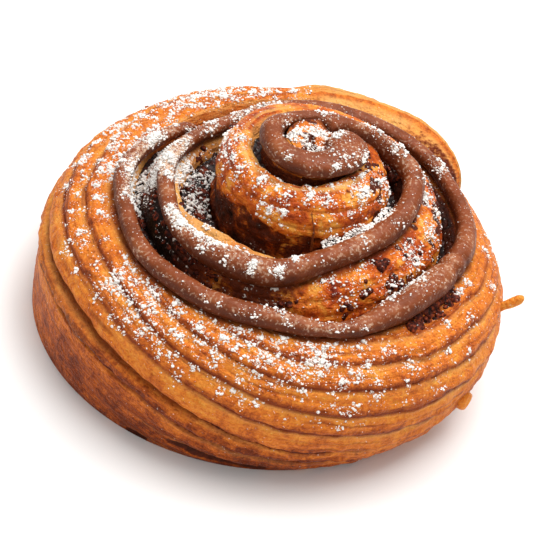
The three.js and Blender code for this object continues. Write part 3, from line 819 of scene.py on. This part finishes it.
def grain():  # eight faces are enough for what is under a pixel wide
    points = np.concatenate([np.eye(3), -np.eye(3)])
    return points, [(0, 1, 2), (1, 3, 2), (3, 4, 2), (4, 0, 2), (1, 0, 5), (3, 1, 5), (4, 3, 5), (0, 4, 5)]


def strewn(shape, places, sizes, flat, uneven, random):  # a turned, misshapen copy at each place
    points, faces = shape
    count = len(places)
    axes = np.linalg.qr(random.normal(size=(count, 3, 3)))[0]
    axes *= np.sign(np.linalg.det(axes))[:, None, None]
    stretch = 1 + uneven * random.uniform(-1, 1, (count, 1, 3))
    shifted = 1.4 * points[None] + random.uniform(0, 50, (count, 1, 3))
    lumpy = 1 + 1.3 * uneven * noise(shifted[..., 0], shifted[..., 1], shifted[..., 2], seed=70)[..., None]
    copies = np.einsum("nij,npj->npi", axes, points[None] * stretch * lumpy)
    copies = copies * np.array([1, 1, flat]) * np.asarray(sizes)[:, None, None]
    copies = copies + np.asarray(places)[:, None, :]
    index = np.array(faces)[None] + (np.arange(count) * len(points))[:, None, None]
    return copies.reshape(-1, 3), index.reshape(-1, 3).tolist()


# Crumbs of filling on the dough

crumbs = {
    "seed": 41,
    # angle from and to, radius from and to, how many, size from and to
    "spread": [
        (186, 250, 34.5, 41, 150, 0.4, 1.3),
        (150, 205, 22, 30, 70, 0.6, 1.5),
        (317, 341, 42.8, 45.5, 64, 0.8, 1.7),
        (270, 284, 35, 40, 14, 0.5, 1.1),
        (0, 30, 22.3, 24.5, 14, 0.6, 1.2),
        (325, 380, 12.5, 21, 20, 0.4, 0.9),
        (330, 380, 28, 36, 18, 0.4, 1.1),
    ],
    # angle, radius and size of single dark bits, each a few crumbs run together
    "single": [(317, 30.7, 1.6), (320, 34.3, 1.5), (323, 36, 1.7), (308, 34.6, 1.3), (298, 36.5, 1.4),
               (300, 38, 1.2)],
    "flat": 0.75,
    "uneven": 0.32,
}


def crumbPiece(drop):
    random = np.random.default_rng(crumbs["seed"])
    places, sizes = [], []
    wanted = [(random.uniform(a, b), random.uniform(c, d), random.uniform(e, f))
              for a, b, c, d, n, e, f in crumbs["spread"] for i in range(n)]
    for angle, radius, size in crumbs["single"]:
        wanted += [(angle + random.normal() * 1.2, radius + random.normal() * 0.5,
                    size * random.uniform(0.5, 0.9)) for i in range(7)]
    for angle, radius, size in wanted:
        at, normal = drop(angle, radius)
        if at and normal.z > 0.1:
            places.append(at + normal * size * random.uniform(-0.6, -0.2))
            sizes.append(size)
    part = strewn(ball(2), places, sizes, crumbs["flat"], crumbs["uneven"], random)
    piece = newPiece("fillingCrumbs", part, crumbFinish)
    return part


solidParts = [doughPart, fillingPart]
crumbPart = crumbPiece(dropper(solidParts))
print("crumbs:", len(crumbPart[1]), "faces")


# Icing sugar: heaps where it lies thick, then a sprinkle

sugar = {
    "seed": 52,
    # angle, radius, spread and amount of the heaps that stand out
    "heaps": [
        (182, 33.5, 2.2, 70), (167, 30.5, 2, 60), (222, 35.5, 1.8, 40), (237, 34.5, 1.8, 36),
        (251, 33, 2, 34), (260, 35, 0.9, 30), (270, 34.4, 0.9, 28), (275, 29.5, 0.9, 18),
        (170, 23.7, 2.5, 60), (175, 28.3, 2, 56), (190, 26.2, 2.2, 60), (214, 25.9, 1.8, 26),
        (186, 38.4, 2.2, 70), (181, 36.7, 2, 56), (165, 39.8, 2.5, 56), (197, 42, 1.5, 12),
        (217, 18.7, 1.6, 26), (196, 19.5, 2, 36), (178, 17.3, 2, 36), (236, 17.9, 1.5, 22),
        (258, 18.9, 1.5, 20), (247, 20.9, 0.8, 26), (255, 20.9, 0.7, 24), (263, 20.7, 0.6, 16),
        (279, 16.9, 1.2, 12), (292, 17.9, 1.5, 18), (320, 17.5, 2, 46), (343, 13.9, 1.3, 15),
        (348, 19.4, 1.6, 30), (296, 21.4, 1.5, 15), (310, 20.8, 1.3, 15), (340, 21.5, 1.2, 12),
        (0, 21.9, 1.2, 12), (150, 6, 1.2, 24), (60, 4, 1.4, 34), (200, 5, 1, 16), (300, 4, 1.2, 28),
        (114, 34, 3, 46), (127, 33, 2.5, 40), (79, 11.7, 1.5, 26), (93, 48.7, 2, 26), (148, 32.3, 2.5, 40),
        (49, 17.2, 1.6, 20), (36, 19.1, 1.5, 18), (26, 23.6, 2, 30), (39, 39.4, 2, 26), (36, 42.5, 1.5, 18),
        (9, 30.4, 1.8, 26), (4, 33.5, 2, 30), (351, 34, 2, 30), (335, 30.2, 1.8, 20), (336, 34.8, 1.8, 26),
        (308, 29.6, 1.8, 18), (290, 31.4, 1.6, 15), (298, 34.2, 2, 20), (318, 35.9, 2.2, 36),
        (328, 36.5, 2.2, 40), (288, 40.7, 1.5, 15), (274, 40.5, 2, 20), (226, 27.8, 0.8, 8),
        (246, 27.2, 0.8, 8), (215, 34.3, 1.1, 34), (221, 34.5, 1.1, 32), (227, 34, 1.1, 34),
        (233, 33.8, 1.1, 30), (242, 32.8, 1, 22), (250, 30.5, 1, 20), (180, 32.9, 1.4, 36),
        (192, 33.2, 1.2, 20), (325, 9.3, 2.6, 20), (195, 40.2, 1.6, 50), (187, 39.2, 1.8, 70),
        (177, 39, 1.8, 70), (172, 38.2, 1.8, 60), (162, 38.5, 2, 60), (170, 5, 1.6, 36),
        (20, 5.5, 1.6, 30), (90, 4, 1.4, 24), (240, 3, 1.2, 20),
    ],
    # angle from and to, radius from and to, how many chance heaps
    "bands": [
        (118, 185, 44, 57, 70),
        (185, 225, 46, 57, 16),
        (222, 262, 46, 59.5, 46),
        (262, 302, 45, 58.5, 44),
        (302, 345, 46, 57, 9),
        (345, 385, 45, 53, 6),
        (96, 122, 45, 53, 16),
        (98, 160, 27, 44, 26),
        (230, 360, 13, 20, 6),
    ],
    "sprinkle": 2500,
    "caught": {"angle": (291, 341), "bits": 380, "size": (0.18, 0.42)},  # between middle turn and rope
    # share of a heap's amount, reach from its middle and middling size
    "kinds": {"sugarClumps": (1.7, 0.4, 0.27), "sugarGrains": (3.0, 0.95, 0.15)},
    "largest": 0.42,
    "flat": 0.7,
    "uneven": 0.42,
}


def sugarHeaps(random):
    heaps = list(sugar["heaps"])
    for a, b, c, d, n in sugar["bands"]:
        for i in range(n):
            angle = mix(a, b, (i + random.random()) / n)
            radius = mix(c, d, (0.618 * i + 0.3 * random.random()) % 1)  # spread evenly over the band
            spread = random.uniform(0.45, 1.25)
            heaps.append((angle, radius, spread, spread * random.uniform(6, 16)))
    return heaps


def caughtSugar():  # fills the gap up to the shoulder of the rope
    size = sugar["caught"]
    random = np.random.default_rng(sugar["seed"] + 1)
    angle = random.uniform(*size["angle"], size["bits"])
    thick = smooth(noise(angle / 5, 0.0, seed=39), -0.5, 0.3)  # thicker here and there
    turn = 2 - angle / 360
    radius, height, halfWidth, halfHeight = ropePlace(turn)
    inside, shoulder = wallAt(turn) + 0.1, radius - mix(0.95, 0.55, thick) * halfWidth
    share = random.random(size["bits"])
    away = mix(inside, shoulder, share)
    off = (radius - away) / halfWidth
    up = height + halfHeight * np.sqrt(np.maximum(1 - off ** 2, 0.03 + 0.1 * thick))
    lean = bell(angle, 313, 6) + 0.7 * bell(angle, 297, 4)  # higher against the middle turn
    places = onSpiral(turn, away, up + 3 * lean * random.random(size["bits"]) * (1 - share))
    return [Vector(place) for place in places], random.uniform(*size["size"], size["bits"]).tolist()


def sugarPieces(drop):
    random = np.random.default_rng(sugar["seed"])
    heaps = sugarHeaps(random)
    wanted = {name: [] for name in sugar["kinds"]}
    for angle, radius, spread, amount in heaps:
        # a heap is a few small ones run together
        centres = spread * 0.75 * random.normal(size=(random.integers(3, 7), 2))
        for name, (share, reach, median) in sugar["kinds"].items():
            for i in range(int(amount * share)):
                away = centres[random.integers(len(centres))] + spread * reach * random.normal(size=2)
                size = min(median * math.exp(0.4 * random.normal()), sugar["largest"])
                heaped = 0.35 * spread * random.random() * math.exp(-(away @ away) / spread ** 2)
                turned = angle + math.degrees(away[0] / max(radius, 3))
                wanted[name].append((turned, radius + away[1], size, heaped))
    for i in range(sugar["sprinkle"]):
        radius = 57 * math.sqrt(random.random())
        wanted["sugarGrains"].append((random.uniform(0, 360), radius, random.uniform(0.08, 0.19), 0))
    for name in wanted:
        clumps = name == "sugarClumps"
        places, sizes = caughtSugar() if clumps else ([], [])
        for angle, radius, size, heaped in wanted[name]:
            onFlap = 30 < angle % 360 < 94 and radius > 45
            at, normal = drop(angle, radius)
            lowest = 29 if 185 < angle % 360 < 248 and radius > 49 else 20  # none fell into the wide crack
            steep = 0.2 if clumps and radius >= 44 else 0.1  # what the sugar still holds on
            if at and not onFlap and at.z > lowest and random.random() < (normal.z - steep) / 0.45:
                places.append(at + normal * size * 0.15 + Vector((0, 0, heaped * clumps)))
                sizes.append(size)
        part = strewn(ball(1) if clumps else grain(), places, sizes, sugar["flat"], sugar["uneven"], random)
        newPiece(name, part, sugarFinish)
        print(name, len(places), "bits,", len(part[1]), "faces")
    return heaps


def sugarDust(piece, points, heaps):  # how thick the fine dust lies on a piece, and the painted light on its upward faces, for its finish
    flatX, flatY = points[:, 0] - spiral["axis"][0], points[:, 1] - spiral["axis"][1]
    around, away = np.degrees(np.arctan2(flatY, flatX)) % 360, np.hypot(flatX, flatY)
    dust = 0.1 + 0.15 * between(around, 205, 225, 315, 340) * smooth(away, 43, 47)
    for angle, radius, spread, amount in heaps:
        turned = math.radians(angle)
        far = (flatX - radius * math.cos(turned)) ** 2 + (flatY - radius * math.sin(turned)) ** 2
        dust += 0.018 * amount / spread * np.exp(-far / (2 * spread) ** 2)
    onFlap = between(around, 26, 34, 90, 98) * smooth(away, 43, 47)
    overCrack = between(around, 180, 188, 258, 268) * smooth(away, 49, 51)
    high = smooth(points[:, 2] - 14 * overCrack, 16, 19)  # none fell into the wide crack
    normals = np.zeros(len(points) * 3, np.float32)
    piece.data.vertex_normals.foreach_get("vector", normals)
    upward = normals.reshape(-1, 3)[:, 2]
    # painted light, stronger the more a face looks up
    setAttribute(piece, "topLight", smooth(upward, 0.2, 0.95))
    setAttribute(piece, "sugar", np.clip(dust, 0, 1) * smooth(upward, 0.15, 0.65) * (1 - onFlap) * high)


sugarPlaces = sugarPieces(dropper(solidParts + [ropePart, crumbPart]))
sugarDust(doughObject, doughPart[0], sugarPlaces)
sugarDust(ropeObject, ropePart[0], sugarPlaces)


# A thread of icing that ran down the middle turn

thread = {"angle": (282, 286), "height": (56, 44.5), "halfWidth": (0.14, 0.4), "off": 0.3}


def threadPiece():
    share = np.linspace(0, 1, 40)[:, None]
    angle, height, width = (mix(*thread[name], share) for name in ("angle", "height", "halfWidth"))
    turn = 2 - (angle + 1.5 * noise(share * 3, 0.0, seed=61)) / 360
    line = onSpiral(turn, outerAt(turn, height) + thread["off"], height)[:, 0]
    out = (line - np.array([*spiral["axis"], 0])) * np.array([1, 1, 0])
    out /= np.linalg.norm(out, axis=1, keepdims=True)
    side = np.stack([-out[:, 1], out[:, 0], 0 * out[:, 0]], 1)
    around = (2 * np.pi * np.arange(8) / 8)[None, :, None]
    width = width * (1 + 0.25 * noise(share * 6, 0.0, seed=60))
    ring = np.cos(around) * side[:, None] + np.sin(around) * out[:, None]
    part = tube(line[:, None] + width[:, :, None] * ring)
    piece = newPiece("chocolateThread", part, chocolateFinish)
    for name, value in (("sugar", 0), ("topLight", 0.7)):
        setAttribute(piece, name, np.full(len(part[0]), value))


threadPiece()
print("thread made")


# Floor, light and camera

stage = {
    "floor": 6.0,
    "floorColours": ("#f1f0ee", "#f5f4f2"),
    "world": {"around": 0.44, "overhead": 0.7},
    "key": {"at": (0.12, 0.18, 0.85), "size": 0.7, "power": 9.0},
    "fill": {"at": (-0.3, -0.9, 0.5), "size": 1.0, "power": 1.0},
    # by the two aside values the roll sits a little above the middle of the picture
    "camera": {"elevation": 39.5, "roll": 14, "distance": 0.48, "lens": 124.35, "aimHeight": 0.038,
               "asideRight": 0.00724, "asideUp": 0.0336},
}


def floorPiece():
    material, add, finish = newMaterial("whiteLacquer")  # lacquered board, sprayed: white, matt, even
    place = add("TexCoord", out="Object")
    tone = add("TexNoise", {"Vector": place, "Scale": 3.0, "Detail": 2.0})  # faint clouds, 330 mm
    dark, light = stage["floorColours"]
    colour = add("Mix", {0: tone, 6: dark, 7: light}, data_type="RGBA")
    finish({"Base Color": colour, "Roughness": 0.7})
    half = stage["floor"] / 2
    corners = [(-half, -half, 0), (half, -half, 0), (half, half, 0), (-half, half, 0)]
    mesh = bpy.data.meshes.new("floor")
    mesh.from_pydata(corners, [], [(0, 1, 2, 3)])
    mesh.materials.append(material)
    floor = bpy.data.objects.new("floor", mesh)
    bpy.context.scene.collection.objects.link(floor)


def addLight(name, at, size, power):
    light = bpy.data.lights.new(name, "AREA")
    light.size = size
    light.energy = power
    lamp = bpy.data.objects.new(name, light)
    lamp.location = at
    lamp.rotation_euler = (Vector((0, 0, 0.03)) - Vector(at)).to_track_quat("-Z", "Y").to_euler()
    bpy.context.scene.collection.objects.link(lamp)


def addWorld():
    world = bpy.data.worlds.new("studio")
    world.use_nodes = True
    tree = world.node_tree
    place = addNode(tree, "TexCoord", out="Generated")
    height = addNode(tree, "SeparateXYZ", {0: place}, out="Z")
    around, overhead = stage["world"]["around"], stage["world"]["overhead"]
    strength = addNode(tree, "MapRange", {"Value": height, "To Min": around, "To Max": overhead})
    setInputs(tree, tree.nodes["Background"], {"Color": "#ffffff", "Strength": strength})
    bpy.context.scene.world = world


def addCamera():
    view = stage["camera"]
    elevation, roll = math.radians(view["elevation"]), math.radians(view["roll"])
    aim = Vector((spiral["axis"][0] * mm, spiral["axis"][1] * mm, view["aimHeight"]))
    forward = Vector((0, math.cos(elevation), -math.sin(elevation)))
    lean = Vector((0, math.sin(elevation), math.cos(elevation)))
    right = math.cos(roll) * Vector((1, 0, 0)) + math.sin(roll) * lean
    up = -math.sin(roll) * Vector((1, 0, 0)) + math.cos(roll) * lean
    at = aim - forward * view["distance"]
    forward = (forward - view["asideRight"] * right - view["asideUp"] * up).normalized()
    right = forward.cross(up).normalized()
    up = right.cross(forward)
    camera = bpy.data.cameras.new("camera")
    camera.lens = view["lens"]
    camera.sensor_width = 36
    camera.clip_start = 0.01
    eye = bpy.data.objects.new("camera", camera)
    eye.matrix_world = Matrix((
        (right.x, up.x, -forward.x, at.x),
        (right.y, up.y, -forward.y, at.y),
        (right.z, up.z, -forward.z, at.z),
        (0, 0, 0, 1),
    ))
    bpy.context.scene.collection.objects.link(eye)
    bpy.context.scene.camera = eye


floorPiece()
addWorld()
for name in ("key", "fill"):
    addLight(name, **stage[name])
addCamera()
bpy.context.scene.view_settings.view_transform = "Standard"
print("stage set")
